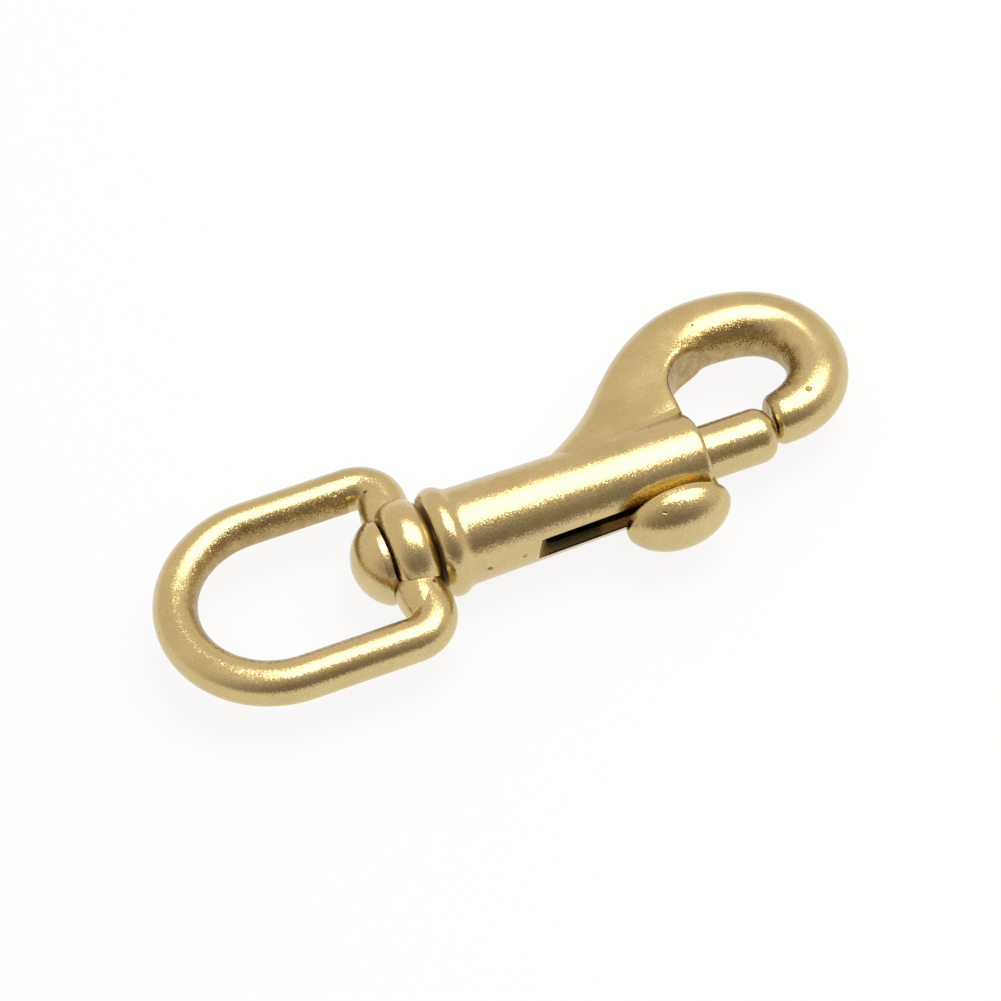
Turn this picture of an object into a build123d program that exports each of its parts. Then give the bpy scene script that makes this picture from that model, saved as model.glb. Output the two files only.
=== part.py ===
import os
from math import asin, copysign, cos, degrees, pi, sin

from build123d import *

# Strap loop: round wire in a D, its straight bar at the swivel
loop_inside_width = 15.9
loop_inside_length = 19.8
loop_wire = 4.55
loop_corner_radius = 3.0

# Swivel boss in the middle of the loop's bar, a shoulder on each side running out into the loop
boss_diameter = 11.4
boss_length = 4.7
boss_edge_radius = 2.1
shoulder_width = 5.0
shoulder_height = 4.7
shoulder_set_in = 0.55
shoulder_end_diameter = 3.4

# Swivel rivet: dome head inside the loop, shank through boss and collar, tail upset in the bore
rivet_head_diameter = 9.0
rivet_head_height = 3.5
rivet_rim_height = 0.7
rivet_rim_radius = 0.6
rivet_shank = 5.0
rivet_tail_diameter = 5.7
rivet_tail_length = 1.0
swivel_clearance = 0.1
swivel_gap = 0.2

# Barrel: collar at the swivel, slow taper towards the hook
collar_diameter = 11.6
collar_length = 2.6
collar_root_radius = 1.6
barrel_length = 29.7
barrel_rear_diameter = 10.3
barrel_front_diameter = 9.2
barrel_rim_radius = 0.8
barrel_end_wall = 3.3

# Hook: bow on the +Y side, nose facing the barrel across the throat
hook_span = 16.5
hook_rise = 15.3
hook_wire = 6.9
throat = 8.7
nose_offset = 1.1
nose_width = 5.4
nose_edge_radius = 1.1
hook_root_share = 0.098  # of the rise
opening_corner_radius = 5.0
opening_inset = 0.2
opening_reach = 6.6

# Sliding bolt with its thumb knob on the -Y side
bolt_diameter = 5.9
bolt_clearance = 0.1
bolt_tip_radius = 1.9
bolt_tail = 12.2
nose_gap = 0.3
pocket_diameter = 5.0
pocket_depth = 4.0
neck_width = 2.6
neck_front = 0.3
neck_length = 8.2
slot_clearance = 0.15
slot_length = 19.85
slot_end_slope = 4.6
slot_end_skew = 0.45
knob_length = 11.4
knob_width = 8.15
knob_height = 4.1
knob_gap = 0.45
knob_band = 1.0
knob_edge_radius = 0.48
knob_setback = 5.35

# Bolt spring
spring_diameter = 4.5
spring_wire = 0.6
spring_turns = 6
spring_seat = 0.05

# One overrun serves every cut
overrun = 4.0

# Stations of the hook: along the span, up the rise, width and height in wires, squareness
hook_station_shares = (
    (-1.08, 0.00, 1.34, 1.34, 2.0),
    (-0.78, 0.06, 1.32, 1.28, 2.2),
    (-0.46, 0.26, 1.38, 1.08, 2.8),
    (-0.133, 0.55, 1.56, 0.93, 3.2),
    (0.172, 0.93, 1.10, 0.96, 2.8),
    (0.50, 1.005, 1.03, 0.98, 2.3),
    (0.93, 0.80, 1.00, 0.99, 2.0),
    (1.01, 0.46, 0.96, 0.96, 2.0),
    (0.86, 0.18, 0.93, 0.92, 2.0),
    (0.69, 0.095, 0.86, 0.86, 2.0),
)
section_points = 12

# Stations of a shoulder along the bar, from the middle to the bend
shoulder_reach_shares = (0.50, 0.86)

# Places along the axis, from the inside of the loop's round end
boss_rear = loop_inside_length
boss_front = boss_rear + boss_length
bar_middle = (boss_rear + boss_front) / 2
shoulder_middle = bar_middle - shoulder_set_in
head_seat = boss_rear - swivel_gap
collar_rear = boss_front + swivel_gap
collar_front = collar_rear + collar_length
bore_rear = collar_rear + barrel_end_wall
barrel_front = collar_rear + barrel_length
barrel_stub = barrel_front + opening_reach / 2
slot_rear = barrel_front - slot_length
nose_face = barrel_front + throat
bolt_tip = nose_face - nose_gap
bolt_rear = barrel_front - bolt_tail
neck_end = barrel_front + neck_front
neck_middle = neck_end - neck_length / 2
knob_middle = neck_end - knob_setback
spring_rear = bore_rear + rivet_tail_length + spring_seat
spring_front = bolt_rear + pocket_depth - spring_seat

# Widths taken from the pieces that fit together
bore_radius = bolt_diameter / 2 + bolt_clearance
hook_root_radius = hook_rise * hook_root_share
barrel_widest_radius = max(barrel_rear_diameter, barrel_front_diameter) / 2
knob_base = barrel_widest_radius + knob_gap
slot_width = neck_width + 2 * slot_clearance
loop_line_half_width = (loop_inside_width + loop_wire) / 2
loop_bend_middle = loop_inside_width / 2
shoulder_end = (loop_inside_width + loop_wire / 2) / 2
boss_hole_radius = rivet_shank / 2 + swivel_clearance
cap_height = rivet_head_height - rivet_rim_height
cap_radius = ((rivet_head_diameter / 2) ** 2 + cap_height**2) / (2 * cap_height)
cap_angle = degrees(asin(rivet_head_diameter / 2 / cap_radius))
knob_stretch = knob_length / knob_width
knob_blank_middle = knob_middle / knob_stretch
knob_cap_height = knob_height - knob_band
knob_cap_radius = ((knob_width / 2) ** 2 + knob_cap_height**2) / (2 * knob_cap_height)
knob_cap_angle = degrees(asin(knob_width / 2 / knob_cap_radius))


def oval_outline(width, height, squareness):
    power = 2 / squareness
    points = []
    for index in range(section_points):
        turn = 2 * pi * index / section_points
        across = copysign(abs(cos(turn)) ** power, cos(turn))
        up = copysign(abs(sin(turn)) ** power, sin(turn))
        points.append((across * width / 2, up * height / 2))
    return points


os.makedirs("parts", exist_ok=True)

# Hook body: barrel turned about the axis, hook lofted out of it, then bored and slotted
hook_points = []
for along, up, *_ in hook_station_shares:
    hook_points.append((barrel_front + along * hook_span, up * hook_rise))
hook_points.append((nose_face, nose_offset))

with BuildLine() as hook_line:
    Spline(*hook_points)

with BuildPart() as hook_body:
    with BuildSketch(Plane.XY) as barrel_profile:
        with BuildLine():
            collar_top = (collar_rear + collar_length / 2, collar_diameter / 2)
            collar_low = barrel_rear_diameter / 2
            Polyline((collar_rear, collar_low), (collar_rear, 0), (barrel_stub, 0),
                     (barrel_stub, barrel_front_diameter / 2), (collar_front, collar_low))
            ThreePointArc((collar_front, collar_low), collar_top, (collar_rear, collar_low))
        make_face()
        fillet(barrel_profile.vertices().sort_by_distance((collar_front, collar_low))[0], collar_root_radius)
    revolve(axis=Axis.X)
    for (_, _, width, height, squareness), point in zip(hook_station_shares, hook_points):
        heading = hook_line.edge().tangent_at(point)
        with BuildSketch(Plane(origin=point, x_dir=Vector(0, 0, 1).cross(heading), z_dir=heading)):
            with BuildLine():
                Spline(*oval_outline(width * hook_wire, height * hook_wire, squareness), periodic=True)
            make_face()
    with BuildSketch(Plane(origin=hook_points[-1], x_dir=(0, -1, 0), z_dir=(-1, 0, 0))):
        with BuildLine():
            Spline(*oval_outline(nose_width, nose_width, squareness), periodic=True)
        make_face()
    loft()
    root_edges = hook_body.faces().filter_by(GeomType.CONE).edges().filter_by(GeomType.BSPLINE)
    fillet(root_edges, hook_root_radius)

    # Opening of the hook: flat with the barrel's front, rounded into the bow
    opening_height = hook_rise - hook_wire / 2 - opening_inset
    with BuildSketch(Plane.XY):
        with BuildLine():
            Polyline((barrel_front, -barrel_front_diameter), (barrel_front + opening_reach, -barrel_front_diameter),
                     (barrel_front + opening_reach, opening_height),
                     (barrel_front + opening_corner_radius, opening_height))
            RadiusArc((barrel_front + opening_corner_radius, opening_height),
                      (barrel_front, opening_height - opening_corner_radius), -opening_corner_radius)
            Line((barrel_front, opening_height - opening_corner_radius), (barrel_front, -barrel_front_diameter))
        make_face()
    extrude(amount=barrel_front_diameter, both=True, mode=Mode.SUBTRACT)

    end_faces = hook_body.faces().filter_by(Plane.YZ).sort_by(Axis.X)
    fillet(end_faces[-1].edges(), nose_edge_radius)
    rim_walls = hook_body.faces().filter_by(GeomType.CYLINDER) + hook_body.faces().filter_by(Plane.XZ)
    rim_walls.append(hook_body.faces().filter_by(Plane.YZ).sort_by(Axis.X)[1])
    fillet(rim_walls.edges().filter_by(GeomType.LINE, reverse=True), barrel_rim_radius)

    # Bore for the bolt, and the hole for the rivet's shank
    with BuildSketch(Plane.YZ.offset(bore_rear)):
        Circle(bore_radius)
    extrude(amount=barrel_length, mode=Mode.SUBTRACT)
    with BuildSketch(Plane.YZ.offset(collar_rear - overrun)):
        Circle(rivet_shank / 2)
    extrude(amount=barrel_end_wall + 2 * overrun, mode=Mode.SUBTRACT)

    # Slot for the thumb knob's neck, open at the front, its rear end sloped and askew
    slot_floor = -barrel_widest_radius - slot_clearance
    for side in (-1, 1):
        rear = slot_rear + (side - 1) * slot_end_skew / 2
        with BuildSketch(Plane.XY.offset(side * slot_width / 2)):
            with BuildLine():
                Polyline((barrel_front + overrun, 0), (rear + slot_end_slope, 0), (rear, slot_floor),
                         (barrel_front + overrun, slot_floor), close=True)
            make_face()
    loft(ruled=True, mode=Mode.SUBTRACT)
hook_body.part.label = "hook_body"
export_step(hook_body.part, "parts/hook_body.step")

# Swivel eye: strap loop swept along a D, shoulders and boss on its bar
with BuildLine() as loop_line:
    bar_edge = loop_line_half_width - loop_corner_radius
    leg_end = bar_middle - loop_corner_radius
    Line((bar_middle, 0), (bar_middle, bar_edge))
    RadiusArc((bar_middle, bar_edge), (leg_end, loop_line_half_width), -loop_corner_radius)
    Line((leg_end, loop_line_half_width), (loop_bend_middle, loop_line_half_width))
    RadiusArc((loop_bend_middle, loop_line_half_width), (loop_bend_middle, -loop_line_half_width),
              -loop_line_half_width)
    Line((loop_bend_middle, -loop_line_half_width), (leg_end, -loop_line_half_width))
    RadiusArc((leg_end, -loop_line_half_width), (bar_middle, -bar_edge), -loop_corner_radius)
    Line((bar_middle, -bar_edge), (bar_middle, 0))

with BuildPart() as swivel_eye:
    with BuildSketch(Plane.XZ.move(Location((bar_middle, 0, 0)))):
        Circle(loop_wire / 2)
    sweep(path=loop_line.wire())
    for side in (-1, 1):
        for share in shoulder_reach_shares:
            spot = (shoulder_middle, side * share * bar_edge, 0)
            with BuildSketch(Plane(origin=spot, x_dir=(1, 0, 0), z_dir=(0, side, 0))):
                Ellipse(shoulder_width / 2, shoulder_height / 2)
        spot = (shoulder_middle, side * shoulder_end, 0)
        with BuildSketch(Plane(origin=spot, x_dir=(1, 0, 0), z_dir=(0, side, 0))):
            Circle(shoulder_end_diameter / 2)
        loft()
    with BuildSketch(Plane.XY) as boss_profile:
        with Locations((bar_middle, 0)):
            Rectangle(boss_length, boss_diameter / 2, align=(Align.CENTER, Align.MIN))
        fillet(boss_profile.vertices().group_by(Axis.Y)[-1], boss_edge_radius)
    revolve(axis=Axis.X)
    with BuildSketch(Plane.YZ.offset(boss_rear)):
        Circle(rivet_head_diameter / 2 + swivel_clearance)
    extrude(amount=-overrun, mode=Mode.SUBTRACT)
    with BuildSketch(Plane.YZ.offset(boss_rear - overrun)):
        Circle(boss_hole_radius)
    extrude(amount=boss_length + 2 * overrun, mode=Mode.SUBTRACT)
swivel_eye.part.label = "swivel_eye"
export_step(swivel_eye.part, "parts/swivel_eye.step")

# Swivel rivet
with BuildPart() as swivel_rivet:
    with BuildSketch(Plane.XY) as rivet_profile:
        with BuildLine():
            head_top = head_seat - rivet_head_height
            rim_top = (head_seat - rivet_rim_height, rivet_head_diameter / 2)
            tail_end = bore_rear + rivet_tail_length
            Polyline((head_top, 0), (tail_end, 0), (tail_end, rivet_tail_diameter / 2),
                     (bore_rear, rivet_tail_diameter / 2), (bore_rear, rivet_shank / 2),
                     (head_seat, rivet_shank / 2), (head_seat, rivet_head_diameter / 2), rim_top)
            JernArc((head_top, 0), (0, 1), cap_radius, -cap_angle)
        make_face()
        fillet(rivet_profile.vertices().group_by(Axis.Y)[-1].sort_by(Axis.X)[0], rivet_rim_radius)
    revolve(axis=Axis.X)
swivel_rivet.part.label = "swivel_rivet"
export_step(swivel_rivet.part, "parts/swivel_rivet.step")

# Sliding bolt: thumb knob turned round and drawn out along the axis, neck through the slot, rod with a pocket
with BuildPart() as sliding_bolt:
    with BuildSketch(Plane.XY) as knob_profile:
        with BuildLine():
            knob_top = -knob_base - knob_height
            Polyline((knob_blank_middle, knob_top), (knob_blank_middle, -knob_base),
                     (knob_blank_middle + knob_width / 2, -knob_base),
                     (knob_blank_middle + knob_width / 2, -knob_base - knob_band))
            JernArc((knob_blank_middle, knob_top), (1, 0), knob_cap_radius, knob_cap_angle)
        make_face()
        fillet(knob_profile.vertices().group_by(Axis.X)[-1], knob_edge_radius)
    revolve(axis=Axis((knob_blank_middle, 0, 0), (0, 1, 0)))
    scale(by=(knob_stretch, 1, 1))
    with BuildSketch(Plane.XZ):
        with Locations((neck_middle, 0)):
            SlotOverall(neck_length, neck_width)
    extrude(amount=knob_base + knob_band / 2)
    with BuildSketch(Plane.YZ.offset(bolt_rear)):
        Circle(bolt_diameter / 2)
    extrude(amount=bolt_tip - bolt_rear)
    fillet(sliding_bolt.edges().sort_by(Axis.X)[-1], bolt_tip_radius)
    with BuildSketch(Plane.YZ.offset(bolt_rear)):
        Circle(pocket_diameter / 2)
    extrude(amount=pocket_depth, mode=Mode.SUBTRACT)
sliding_bolt.part.label = "sliding_bolt"
export_step(sliding_bolt.part, "parts/sliding_bolt.step")

# Bolt spring, seated on the rivet's tail and in the bolt's pocket
with BuildLine() as spring_line:
    spring_height = spring_front - spring_rear - spring_wire
    Helix(spring_height / spring_turns, spring_height, (spring_diameter - spring_wire) / 2,
          center=(spring_rear + spring_wire / 2, 0, 0), direction=(1, 0, 0))

with BuildPart() as bolt_spring:
    with BuildSketch(Plane(origin=spring_line.edge() @ 0, z_dir=spring_line.edge() % 0)):
        Circle(spring_wire / 2)
    sweep(path=spring_line.edge(), is_frenet=True)
bolt_spring.part.label = "bolt_spring"
export_step(bolt_spring.part, "parts/bolt_spring.step")
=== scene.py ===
from math import pi, radians

import bpy
from mathutils import Matrix, Vector


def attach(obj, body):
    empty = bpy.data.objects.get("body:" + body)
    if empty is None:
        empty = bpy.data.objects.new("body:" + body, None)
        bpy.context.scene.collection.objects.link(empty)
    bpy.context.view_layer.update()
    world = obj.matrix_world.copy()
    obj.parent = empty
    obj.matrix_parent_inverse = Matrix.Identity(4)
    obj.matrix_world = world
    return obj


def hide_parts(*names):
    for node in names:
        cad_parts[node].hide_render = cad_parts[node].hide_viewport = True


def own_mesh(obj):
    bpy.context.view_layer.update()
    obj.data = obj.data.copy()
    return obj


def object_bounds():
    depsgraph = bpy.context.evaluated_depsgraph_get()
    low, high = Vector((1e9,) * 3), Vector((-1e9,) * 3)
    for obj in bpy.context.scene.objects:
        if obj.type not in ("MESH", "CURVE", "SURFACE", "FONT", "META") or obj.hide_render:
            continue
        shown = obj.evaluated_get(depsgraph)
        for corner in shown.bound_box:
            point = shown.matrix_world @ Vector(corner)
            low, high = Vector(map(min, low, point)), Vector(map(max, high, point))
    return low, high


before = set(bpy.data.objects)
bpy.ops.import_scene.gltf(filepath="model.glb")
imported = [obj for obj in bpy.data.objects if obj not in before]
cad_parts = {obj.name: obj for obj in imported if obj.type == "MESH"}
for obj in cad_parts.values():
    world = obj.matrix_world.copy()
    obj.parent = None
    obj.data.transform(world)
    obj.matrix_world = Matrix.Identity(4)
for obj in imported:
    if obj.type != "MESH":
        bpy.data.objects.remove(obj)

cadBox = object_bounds()
print("frame loaded:", ", ".join(sorted(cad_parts)))


def addNode(tree, kind, inputs=None, **settings):
    node = tree.nodes.new(kind)
    for key, value in settings.items():
        setattr(node, key, value)
    for key, value in (inputs or {}).items():
        node.inputs[key].default_value = value
    return node


def join(tree, fromSocket, toSocket):
    tree.links.new(fromSocket, toSocket)


def feed(tree, sockets, values):  # a socket is linked, a number or vector is set
    for socket, value in zip(sockets, values):
        if isinstance(value, bpy.types.NodeSocket):
            join(tree, value, socket)
        else:
            socket.default_value = value


def maths(tree, operation, *values, clamp=False):
    node = addNode(tree, "ShaderNodeMath", operation=operation, use_clamp=clamp)
    feed(tree, node.inputs, values)
    return node.outputs[0]


def vectors(tree, operation, *values):
    node = addNode(tree, "ShaderNodeVectorMath", operation=operation)
    feed(tree, node.inputs, values)
    return node.outputs["Value" if operation in ("LENGTH", "DISTANCE", "DOT_PRODUCT") else "Vector"]


def scaled(tree, vector, amount):
    node = addNode(tree, "ShaderNodeVectorMath", operation="SCALE")
    feed(tree, (node.inputs[0], node.inputs["Scale"]), (vector, amount))
    return node.outputs["Vector"]


def mapped(tree, value, fromMin, fromMax, toMin, toMax, smooth=False):
    node = addNode(tree, "ShaderNodeMapRange", interpolation_type="SMOOTHSTEP" if smooth else "LINEAR")
    sockets = [node.inputs[name] for name in ("Value", "From Min", "From Max", "To Min", "To Max")]
    feed(tree, sockets, (value, fromMin, fromMax, toMin, toMax))
    return node.outputs["Result"]


def split(tree, vector):
    node = tree.nodes.new("ShaderNodeSeparateXYZ")
    join(tree, vector, node.inputs["Vector"])
    return node.outputs


# spring: wire wound round the bolt's axis, with the end turns lying closed

springSize = {
    "rear": 0.02935,  # centre of the wire at the rear seat
    "front": 0.04585,
    "windRadius": 0.00195,
    "wireRadius": 0.0003,
    "turns": 7.5,
    "closedShare": 0.1,  # share of the wire in each closed end
    "points": 420,
    "wireSides": 12,
    "keep": 0.4446,  # share of its length that is left with the bolt drawn back
    "anchor": 0.02905,
}


def springTree(steel):
    tree = bpy.data.node_groups.new("woundSpring", "GeometryNodeTree")
    sizes = [("Rear", "rear"), ("Front", "front"), ("Wind Radius", "windRadius"),
             ("Wire Radius", "wireRadius"), ("Turns", "turns"), ("Closed Share", "closedShare")]
    counts = [("Points", "points"), ("Wire Sides", "wireSides")]
    ids = {}
    for kind, wanted in (("NodeSocketFloat", sizes), ("NodeSocketInt", counts)):
        for label, key in wanted:
            ids[key] = tree.interface.new_socket(label, in_out="INPUT", socket_type=kind).identifier
    tree.interface.new_socket("Geometry", in_out="OUTPUT", socket_type="NodeSocketGeometry")
    source = tree.nodes.new("NodeGroupInput").outputs
    target = tree.nodes.new("NodeGroupOutput")

    wire = tree.nodes.new("GeometryNodeCurvePrimitiveLine")
    evenly = tree.nodes.new("GeometryNodeResampleCurve")
    join(tree, wire.outputs["Curve"], evenly.inputs["Curve"])
    join(tree, source["Points"], evenly.inputs["Count"])
    along = tree.nodes.new("GeometryNodeSplineParameter").outputs["Factor"]
    # the advance along the axis stands still in the closed ends and runs straight between them
    closed = source["Closed Share"]
    advance = mapped(tree, along, closed, maths(tree, "SUBTRACT", 1.0, closed), source["Rear"], source["Front"])
    angle = maths(tree, "MULTIPLY", maths(tree, "MULTIPLY", along, source["Turns"]), 2 * pi)
    spot = tree.nodes.new("ShaderNodeCombineXYZ")
    join(tree, advance, spot.inputs["X"])
    for wave, axis in (("COSINE", "Y"), ("SINE", "Z")):
        join(tree, maths(tree, "MULTIPLY", maths(tree, wave, angle), source["Wind Radius"]), spot.inputs[axis])
    placed = tree.nodes.new("GeometryNodeSetPosition")
    join(tree, evenly.outputs["Curve"], placed.inputs["Geometry"])
    join(tree, spot.outputs["Vector"], placed.inputs["Position"])
    section = tree.nodes.new("GeometryNodeCurvePrimitiveCircle")
    join(tree, source["Wire Sides"], section.inputs["Resolution"])
    join(tree, source["Wire Radius"], section.inputs["Radius"])
    body = addNode(tree, "GeometryNodeCurveToMesh", {"Fill Caps": True})
    join(tree, placed.outputs["Geometry"], body.inputs["Curve"])
    join(tree, section.outputs["Curve"], body.inputs["Profile Curve"])
    smooth = tree.nodes.new("GeometryNodeSetShadeSmooth")
    join(tree, body.outputs["Mesh"], smooth.inputs["Geometry"])
    real = tree.nodes.new("GeometryNodeRealizeInstances")
    join(tree, smooth.outputs["Geometry"], real.inputs["Geometry"])
    finish = addNode(tree, "GeometryNodeSetMaterial", {"Material": steel})
    join(tree, real.outputs["Geometry"], finish.inputs["Geometry"])
    join(tree, finish.outputs["Geometry"], target.inputs["Geometry"])
    return tree, ids


def makeSpring(steel):
    tree, ids = springTree(steel)
    holder = bpy.data.objects.new("springMaker", bpy.data.meshes.new("springMaker"))
    bpy.context.scene.collection.objects.link(holder)
    wound = holder.modifiers.new("wound", "NODES")
    wound.node_group = tree
    for key, identifier in ids.items():
        wound[identifier] = springSize[key]
    bpy.context.view_layer.update()
    mesh = bpy.data.meshes.new_from_object(holder.evaluated_get(bpy.context.evaluated_depsgraph_get()))
    holder.modifiers.remove(wound)
    bpy.data.objects.remove(holder)
    spring = bpy.data.objects.new("wound_spring", mesh)
    bpy.context.scene.collection.objects.link(spring)
    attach(spring, "hook")
    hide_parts("bolt_spring")
    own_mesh(spring)
    print("spring wound:", len(mesh.polygons), "faces")


# what brass and steel share

def newMetal(name):
    material = bpy.data.materials.new(name)
    material.use_nodes = True
    tree = material.node_tree
    shader = tree.nodes["Principled BSDF"]
    shader.inputs["Metallic"].default_value = 1.0
    place = tree.nodes.new("ShaderNodeTexCoord").outputs["Object"]
    return material, tree, shader.inputs, place


def noise(tree, place, scale, detail, roughness):
    node = addNode(tree, "ShaderNodeTexNoise", {"Scale": scale, "Detail": detail, "Roughness": roughness})
    join(tree, place, node.inputs["Vector"])
    return node.outputs


def toneRamp(tree, value, stops, colours):
    node = addNode(tree, "ShaderNodeValToRGB")
    for element, stop, colour in zip(node.color_ramp.elements, stops, colours):
        element.position = stop
        element.color = colour
    join(tree, value, node.inputs["Fac"])
    return node.outputs["Color"]


def bump(tree, height, depth, invert=False):
    node = addNode(tree, "ShaderNodeBump", {"Strength": 1.0, "Distance": depth}, invert=invert)
    join(tree, height, node.inputs["Height"])
    return node


def mixIn(tree, base, mask, other):  # other is a colour or a number
    node = addNode(tree, "ShaderNodeMix", data_type="RGBA" if isinstance(other, tuple) else "FLOAT")
    node.inputs["B"].default_value = other
    join(tree, mask, node.inputs["Factor"])
    join(tree, base, node.inputs["A"])
    return node.outputs["Result"]


# brass: one recipe, with a set of values for each casting

castBrass = {
    "name": "tumbledBrass",
    "pale": (0.665, 0.540, 0.266, 1),
    "deep": (0.585, 0.468, 0.216, 1),
    "toneStops": (0.45, 0.85),
    "patches": 170,  # noises and pits are counted per metre
    "worn": 900,
    "wornShare": 0.3,  # share of the worn noise in the tone
    "waves": 420,
    "waveDepth": 1.2e-5,
    "shine": 0.18,
    "satin": 0.26,
    "glossSpread": (0.35, 0.75),
    "grain": 6400,
    "grainTilt": 0.50,
    "grainWorn": 0.22,
    "grainSpread": (0.35, 0.65),
    "fleckDark": 0.91,  # the grain darkens and lightens the colour too, the lighter flecks being painted glints
    "fleckGlint": 1.06,
    "fleckSpread": (0.32, 0.68),
    "buffedFrom": 0.003,  # the bow, out past this in Y, was buffed smoother
    "buffedTo": 0.007,
    "buffedGrain": 0.25,
    "pits": 700,
    "pitShare": 0.07,
    "pitFloor": 0.02,
    "pitWidths": (0.05, 0.15),
    "pitDepth": 5.0e-5,
    "pitColour": (0.20, 0.13, 0.05, 1),
    "wobble": 2600,
    "wobbleReach": 7.0e-4,
    # place and radius in metres
    "marks": [(0.02913, -0.00511, 0.00013, 0.00034), (0.03286, -0.00504, 0.00009, 0.00026),
              (0.06750, 0.00141, 0.00303, 0.00040), (0.05994, 0.01414, 0.00321, 0.00030)],
    "polishRest": [],
    # middle, half length, reach and edge of the inside with cast skin and painted shade
    "skinShade": {"middle": (0.0618, 0.0074), "half": 0.0010, "reach": 0.0060, "edge": 0.0014, "until": 0.08},
    # painted shade: the bore inside its radius is painted near-black; the slot's walls inside the cut's are
    # unpolished and rougher
    "bore": {
        "rearRadius": 0.0032,
        "frontRadius": 0.0037,
        "step": 0.0360,  # ahead of the slot's sloped end the dark comes further out
        "stepBlur": 4.0e-4,
        "front": 0.0539,
        "cutRadius": 0.0055,
        "cutTaper": 0.0203,
        "blur": 1.0e-4,
        # painted shade: the near-black colour of the bore's inside
        "colour": (0.035, 0.022, 0.008, 1),
        "cutRoughness": 0.42,
    },
}
boltBrass = dict(castBrass, name="polishedBoltBrass", shine=0.17, satin=0.24, buffedGrain=1.0,
                 pitShare=0.03, marks=[(0.04724, -0.00772, 0.00318, 0.00026)], skinShade=None, bore=None)
loopBrass = dict(castBrass, name="tumbledLoopBrass", patches=150, buffedGrain=1.0, pitShare=0.08,
                 marks=[], bore=None,
                 polishRest=[(0.02293, -0.00572, 0.00214, 0.00030), (0.02041, 0.00806, 0.00172, 0.00030)],
                 # the loop's inner wall: cast skin and painted shade
                 skinShade={"middle": (0.01395, 0.0), "half": 0.0060, "reach": 0.0088, "edge": 0.0008,
                       "until": 0.0045})
rivetBrass = dict(castBrass, name="upsetRivetBrass", shine=0.17, satin=0.24, buffedGrain=1.0,
                  pitShare=0.05, marks=[(0.01822, 0.00203, 0.00355, 0.00025)], skinShade=None, bore=None)

# cast skin and painted shade on the inner walls: darker brown, with darker brown patches
skinAndPaintedShade = {"colour": (0.50, 0.37, 0.15, 1), "darkPatch": (0.17, 0.11, 0.04, 1), "darkPatchShare": 0.40,
            "darkPatchSpread": (0.38, 0.62), "roughness": 0.24, "tilt": 1.3}
polishRest = {"colour": (0.03, 0.09, 0.20, 1), "roughness": 0.6}
spotCore = 0.45  # share of a spot's radius that is full
noiseMiddle = (0.5, 0.5, 0.5)


def spotMask(tree, place, spots):
    total = None
    for *middle, radius in spots:
        reach = vectors(tree, "DISTANCE", place, middle)
        spot = mapped(tree, reach, radius * spotCore, radius, 1.0, 0.0, smooth=True)
        total = spot if total is None else maths(tree, "MAXIMUM", total, spot)
    return total


# the first mask is the bore's painted shade, the second the slot walls' rougher cut
def boreMasks(tree, place, bore):
    radius = vectors(tree, "LENGTH", vectors(tree, "MULTIPLY", place, (0, 1, 1)))
    along = split(tree, place)["X"]
    tapered = maths(tree, "MULTIPLY_ADD", along, bore["cutTaper"], radius)
    stepped = mapped(tree, along, bore["step"] - bore["stepBlur"], bore["step"] + bore["stepBlur"],
                     bore["rearRadius"], bore["frontRadius"])
    deep = maths(tree, "SUBTRACT", radius, stepped)
    behind = maths(tree, "LESS_THAN", along, bore["front"])
    masks = []
    for measure, limit in ((deep, 0.0), (tapered, bore["cutRadius"])):
        inside = mapped(tree, measure, limit - bore["blur"], limit + bore["blur"], 1.0, 0.0)
        masks.append(maths(tree, "MULTIPLY", inside, behind))
    return masks


def skinShadeMask(tree, place, worn, skinShade):
    parts = split(tree, vectors(tree, "SUBTRACT", place, (*skinShade["middle"], 0)))
    beyond = maths(tree, "SUBTRACT", maths(tree, "ABSOLUTE", parts["X"]), skinShade["half"])
    flat = tree.nodes.new("ShaderNodeCombineXYZ")
    join(tree, maths(tree, "MAXIMUM", beyond, 0.0), flat.inputs["X"])
    join(tree, parts["Y"], flat.inputs["Y"])
    reach = vectors(tree, "LENGTH", flat.outputs["Vector"])
    # the polish ends on a ragged line
    ragged = maths(tree, "MULTIPLY_ADD", worn, skinShade["edge"], reach)
    inside = mapped(tree, ragged, skinShade["reach"], skinShade["reach"] + skinShade["edge"], 1.0, 0.0, smooth=True)
    return maths(tree, "MULTIPLY", inside, maths(tree, "LESS_THAN", parts["X"], skinShade["until"]))


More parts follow.
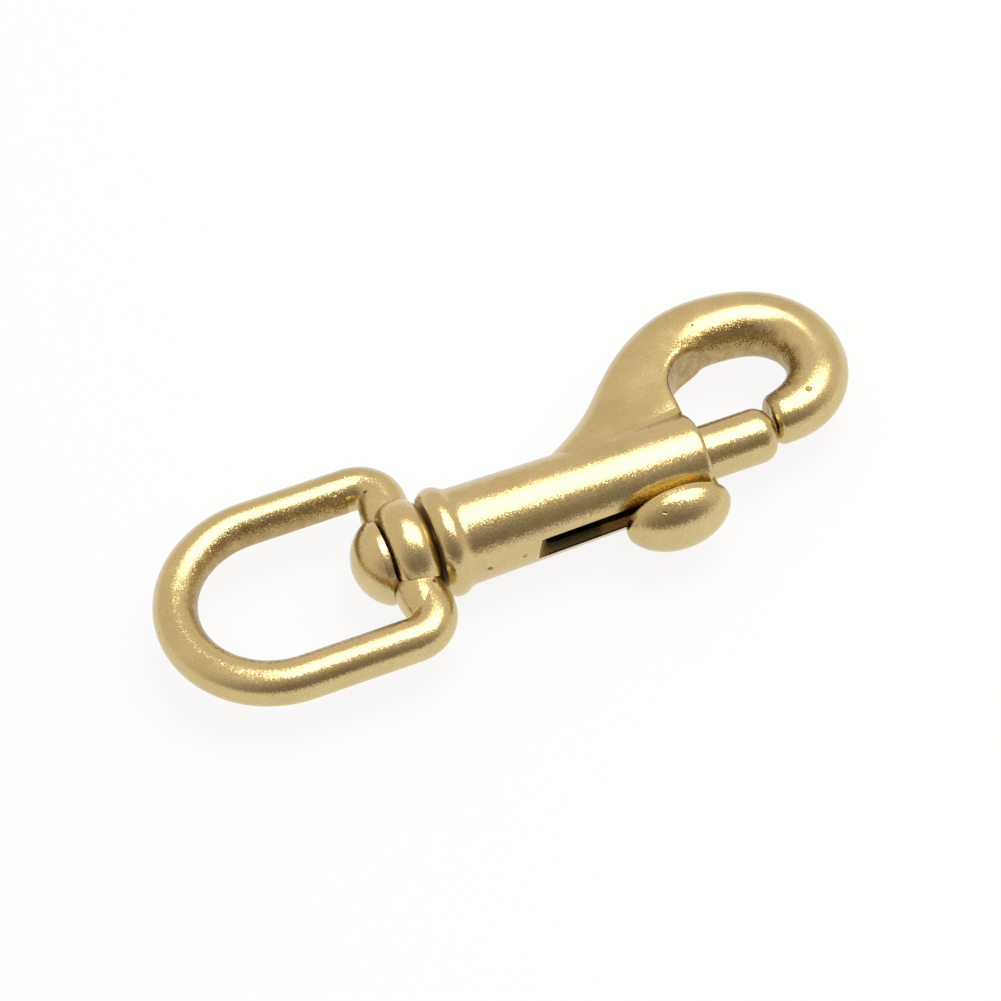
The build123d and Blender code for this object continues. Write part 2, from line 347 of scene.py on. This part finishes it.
def makeBrass(look):
    material, tree, shader, place = newMetal(look["name"])
    patches = noise(tree, place, look["patches"], 4.0, 0.6)["Fac"]
    worn = noise(tree, place, look["worn"], 3.0, 0.65)["Fac"]
    waves = noise(tree, place, look["waves"], 2.0, 0.5)["Fac"]
    grain = noise(tree, place, look["grain"], 1.0, 0.6)

    # a wobbled place keeps pits and marks from looking drilled
    shift = noise(tree, place, look["wobble"], 1.0, 0.5)["Color"]
    swing = vectors(tree, "SUBTRACT", shift, noiseMiddle)
    wobbled = vectors(tree, "MULTIPLY_ADD", swing, (look["wobbleReach"],) * 3, place)

    # pale and deep brass in soft patches, the grain breaking them up into darker flecks and lighter flecks of
    # painted glint
    blend = maths(tree, "MULTIPLY_ADD", worn, look["wornShare"], patches)
    tone = toneRamp(tree, blend, look["toneStops"], (look["deep"], look["pale"]))
    # painted glints: the grain's lighter flecks brighten the colour
    flecksAndGlints = mapped(tree, grain["Fac"], *look["fleckSpread"], look["fleckDark"], look["fleckGlint"])
    colour = scaled(tree, tone, flecksAndGlints)

    # the tumbled surface is satin in places and bright in others
    rough = mapped(tree, patches, *look["glossSpread"], look["shine"], look["satin"])

    # a pit sits in the middle of a few of the cells, each with a size of its own
    cells = addNode(tree, "ShaderNodeTexVoronoi", {"Scale": look["pits"], "Randomness": 1.0})
    join(tree, wobbled, cells.inputs["Vector"])
    chance = addNode(tree, "ShaderNodeSeparateColor")
    join(tree, cells.outputs["Color"], chance.inputs["Color"])
    isPit = maths(tree, "LESS_THAN", chance.outputs["Red"], look["pitShare"])
    width = mapped(tree, chance.outputs["Green"], 0.0, 1.0, *look["pitWidths"])
    bowl = mapped(tree, cells.outputs["Distance"], look["pitFloor"], width, 1.0, 0.0, smooth=True)
    hollow = maths(tree, "MULTIPLY", bowl, isPit)
    if look["marks"]:
        hollow = maths(tree, "MAXIMUM", hollow, spotMask(tree, wobbled, look["marks"]))
    colour = mixIn(tree, colour, hollow, look["pitColour"])

    tilt = mapped(tree, worn, *look["grainSpread"], look["grainWorn"], look["grainTilt"])
    buffed = mapped(tree, split(tree, place)["Y"], look["buffedFrom"], look["buffedTo"],
                    1.0, look["buffedGrain"])
    tilt = maths(tree, "MULTIPLY", tilt, buffed)
    if look["skinShade"]:
        # cast skin and painted shade: the inner walls turn a darker brown with darker brown patches, and a
        # coarse facet on every grain
        skinShade = skinShadeMask(tree, place, worn, look["skinShade"])
        darkPatchMask = mapped(tree, worn, *skinAndPaintedShade["darkPatchSpread"], skinAndPaintedShade["darkPatchShare"], 0.0)
        colour = mixIn(tree, colour, skinShade, skinAndPaintedShade["colour"])
        colour = mixIn(tree, colour, maths(tree, "MULTIPLY", darkPatchMask, skinShade), skinAndPaintedShade["darkPatch"])
        rough = mixIn(tree, rough, skinShade, skinAndPaintedShade["roughness"])
        tilt = mixIn(tree, tilt, skinShade, skinAndPaintedShade["tilt"])
    if look["polishRest"]:
        rest = spotMask(tree, wobbled, look["polishRest"])
        colour = mixIn(tree, colour, rest, polishRest["colour"])
        rough = mixIn(tree, rough, rest, polishRest["roughness"])
    if look["bore"]:
        bore, cut = boreMasks(tree, place, look["bore"])
        # painted shade: near-black painted in the bore
        colour = mixIn(tree, colour, bore, look["bore"]["colour"])
        rough = mixIn(tree, rough, cut, look["bore"]["cutRoughness"])
    join(tree, colour, shader["Base Color"])
    join(tree, rough, shader["Roughness"])

    # each grain is a small facet, tilted its own way
    sway = bump(tree, waves, look["waveDepth"])
    facet = scaled(tree, vectors(tree, "SUBTRACT", grain["Color"], noiseMiddle), tilt)
    turned = vectors(tree, "NORMALIZE", vectors(tree, "ADD", sway.outputs["Normal"], facet))
    dent = bump(tree, hollow, look["pitDepth"], invert=True)
    join(tree, turned, dent.inputs["Normal"])
    join(tree, dent.outputs["Normal"], shader["Normal"])
    return material


# drawn spring wire: grey, with fine lines in it

springSteel = {
    "name": "drawnSpringWire",
    "light": (0.56, 0.56, 0.57, 1),
    "dark": (0.38, 0.38, 0.40, 1),
    "toneStops": (0.35, 0.7),
    "lines": 2600,
    "lineDepth": 3.0e-6,
    "shine": 0.22,
    "dull": 0.40,
    "glossSpread": (0.3, 0.7),
}


def makeSteel(look):
    material, tree, shader, place = newMetal(look["name"])
    lines = noise(tree, place, look["lines"], 4.0, 0.6)["Fac"]
    tone = toneRamp(tree, lines, look["toneStops"], (look["dark"], look["light"]))
    join(tree, tone, shader["Base Color"])
    join(tree, mapped(tree, lines, *look["glossSpread"], look["shine"], look["dull"]), shader["Roughness"])
    join(tree, bump(tree, lines, look["lineDepth"]).outputs["Normal"], shader["Normal"])
    return material


def dress(nodeName, material):
    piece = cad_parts[nodeName]
    piece.data.materials.clear()
    piece.data.materials.append(material)


makeSpring(makeSteel(springSteel))
dress("hook_body", makeBrass(castBrass))
dress("sliding_bolt", makeBrass(boltBrass))
dress("swivel_eye", makeBrass(loopBrass))
dress("swivel_rivet", makeBrass(rivetBrass))
print("brass and steel on all pieces")


# floor: one pale sheet under the snap

floorSheet = {
    "half": 4.0,
    "below": 2.0e-5,  # under the lowest point of the snap
    "colour": (0.82, 0.82, 0.815, 1),
    "roughness": 0.6,
    "specular": 0.1,
    "paper": 0.88,  # share of plain white, the rest takes the shadow
}


def makeFloor():
    low = cadBox[0][2] - floorSheet["below"]
    half = floorSheet["half"]
    mesh = bpy.data.meshes.new("tableSheet")
    mesh.from_pydata([(-half, -half, low), (half, -half, low), (half, half, low), (-half, half, low)],
                     [], [(0, 1, 2, 3)])
    floor = bpy.data.objects.new("tableSheet", mesh)
    bpy.context.scene.collection.objects.link(floor)
    material = bpy.data.materials.new("tablePaper")
    material.use_nodes = True
    tree = material.node_tree
    shader = tree.nodes["Principled BSDF"]
    shader.inputs["Base Color"].default_value = floorSheet["colour"]
    shader.inputs["Roughness"].default_value = floorSheet["roughness"]
    shader.inputs["Specular IOR Level"].default_value = floorSheet["specular"]
    # the sheet shows as white paper, with part of the object's shadow left on it
    white = addNode(tree, "ShaderNodeEmission", {"Color": (1, 1, 1, 1), "Strength": 1.0})
    rays = tree.nodes.new("ShaderNodeLightPath").outputs
    share = 0.0
    for name in ("Is Camera Ray", "Is Glossy Ray", "Is Transmission Ray"):
        share = maths(tree, "MULTIPLY_ADD", rays[name], floorSheet["paper"], share, clamp=True)
    both = tree.nodes.new("ShaderNodeMixShader")
    join(tree, share, both.inputs["Fac"])
    join(tree, shader.outputs["BSDF"], both.inputs[1])
    join(tree, white.outputs["Emission"], both.inputs[2])
    join(tree, both.outputs["Shader"], tree.nodes["Material Output"].inputs["Surface"])
    mesh.materials.append(material)
    print("floor laid")


# studio: an overhead softbox, pale surroundings, and a darker room on the camera's side

studio = {
    "wall": (0.87, 0.785, 0.715, 1),
    "room": (0.25, 0.218, 0.195, 1),
    "heading": 6.0,  # where the room lies
    "roomReach": 1.0,  # over this the wall fades into the room
    "roomRise": 0.24,  # and over this from the floor up
    "softbox": {"place": (0.320, 0.012, 0.60), "turn": -20, "wide": 0.70, "deep": 0.50,
                "brightness": 3.1, "colour": (1.0, 0.95, 0.95)},
}


def makeStudio():
    box = studio["softbox"]
    lamp = bpy.data.lights.new("softbox", "AREA")
    lamp.shape = "RECTANGLE"
    lamp.size = box["wide"]
    lamp.size_y = box["deep"]
    lamp.energy = box["brightness"] * pi * box["wide"] * box["deep"]
    lamp.color = box["colour"]
    stand = bpy.data.objects.new("softbox", lamp)
    stand.location = box["place"]
    stand.rotation_euler = (0, 0, radians(box["turn"]))
    bpy.context.scene.collection.objects.link(stand)

    world = bpy.data.worlds.new("studio")
    bpy.context.scene.world = world
    world.use_nodes = True
    tree = world.node_tree
    way = tree.nodes.new("ShaderNodeTexCoord").outputs["Generated"]
    towards = Matrix.Rotation(-radians(studio["heading"]), 3, "Z") @ Vector((0.0, -1.0, 0.0))
    facing = vectors(tree, "DOT_PRODUCT", way, towards)
    side = mapped(tree, facing, 0.0, studio["roomReach"], 0.0, 1.0, smooth=True)
    above = mapped(tree, split(tree, way)["Z"], 0.0, studio["roomRise"], 0.0, 1.0, smooth=True)
    shade = addNode(tree, "ShaderNodeMix", data_type="RGBA")
    shade.inputs["A"].default_value = studio["wall"]
    shade.inputs["B"].default_value = studio["room"]
    join(tree, maths(tree, "MULTIPLY", side, above), shade.inputs["Factor"])
    join(tree, shade.outputs["Result"], tree.nodes["Background"].inputs["Color"])
    print("studio lit")


# camera: the photograph's angle

shot = {
    "above": 52.171,  # angles in degrees
    "heading": 18.079,
    "roll": -4.212,
    "distance": 0.260,
    "aim": (0.03176, -0.001925, 0.006232),
    "focal": 2597.28,  # in points of the picture
    "pictureWidth": 1001,
    "sensor": 36.0,
    "nearest": 0.01,
    "furthest": 20.0,
}


def makeCamera():
    lens = bpy.data.cameras.new("shot")
    lens.sensor_width = shot["sensor"]
    lens.lens = shot["focal"] / shot["pictureWidth"] * shot["sensor"]
    lens.clip_start = shot["nearest"]
    lens.clip_end = shot["furthest"]
    camera = bpy.data.objects.new("shot", lens)
    bpy.context.scene.collection.objects.link(camera)
    turn = (Matrix.Rotation(-radians(shot["heading"]), 4, "Z")
            @ Matrix.Rotation(radians(90 - shot["above"]), 4, "X")
            @ Matrix.Rotation(radians(shot["roll"]), 4, "Z"))
    back = (turn @ Vector((0, 0, 1, 0))).to_3d()
    camera.matrix_world = Matrix.Translation(Vector(shot["aim"]) + back * shot["distance"]) @ turn
    bpy.context.scene.camera = camera
    print("camera set")


makeFloor()
makeStudio()
makeCamera()
bpy.context.scene.view_settings.view_transform = "Standard"
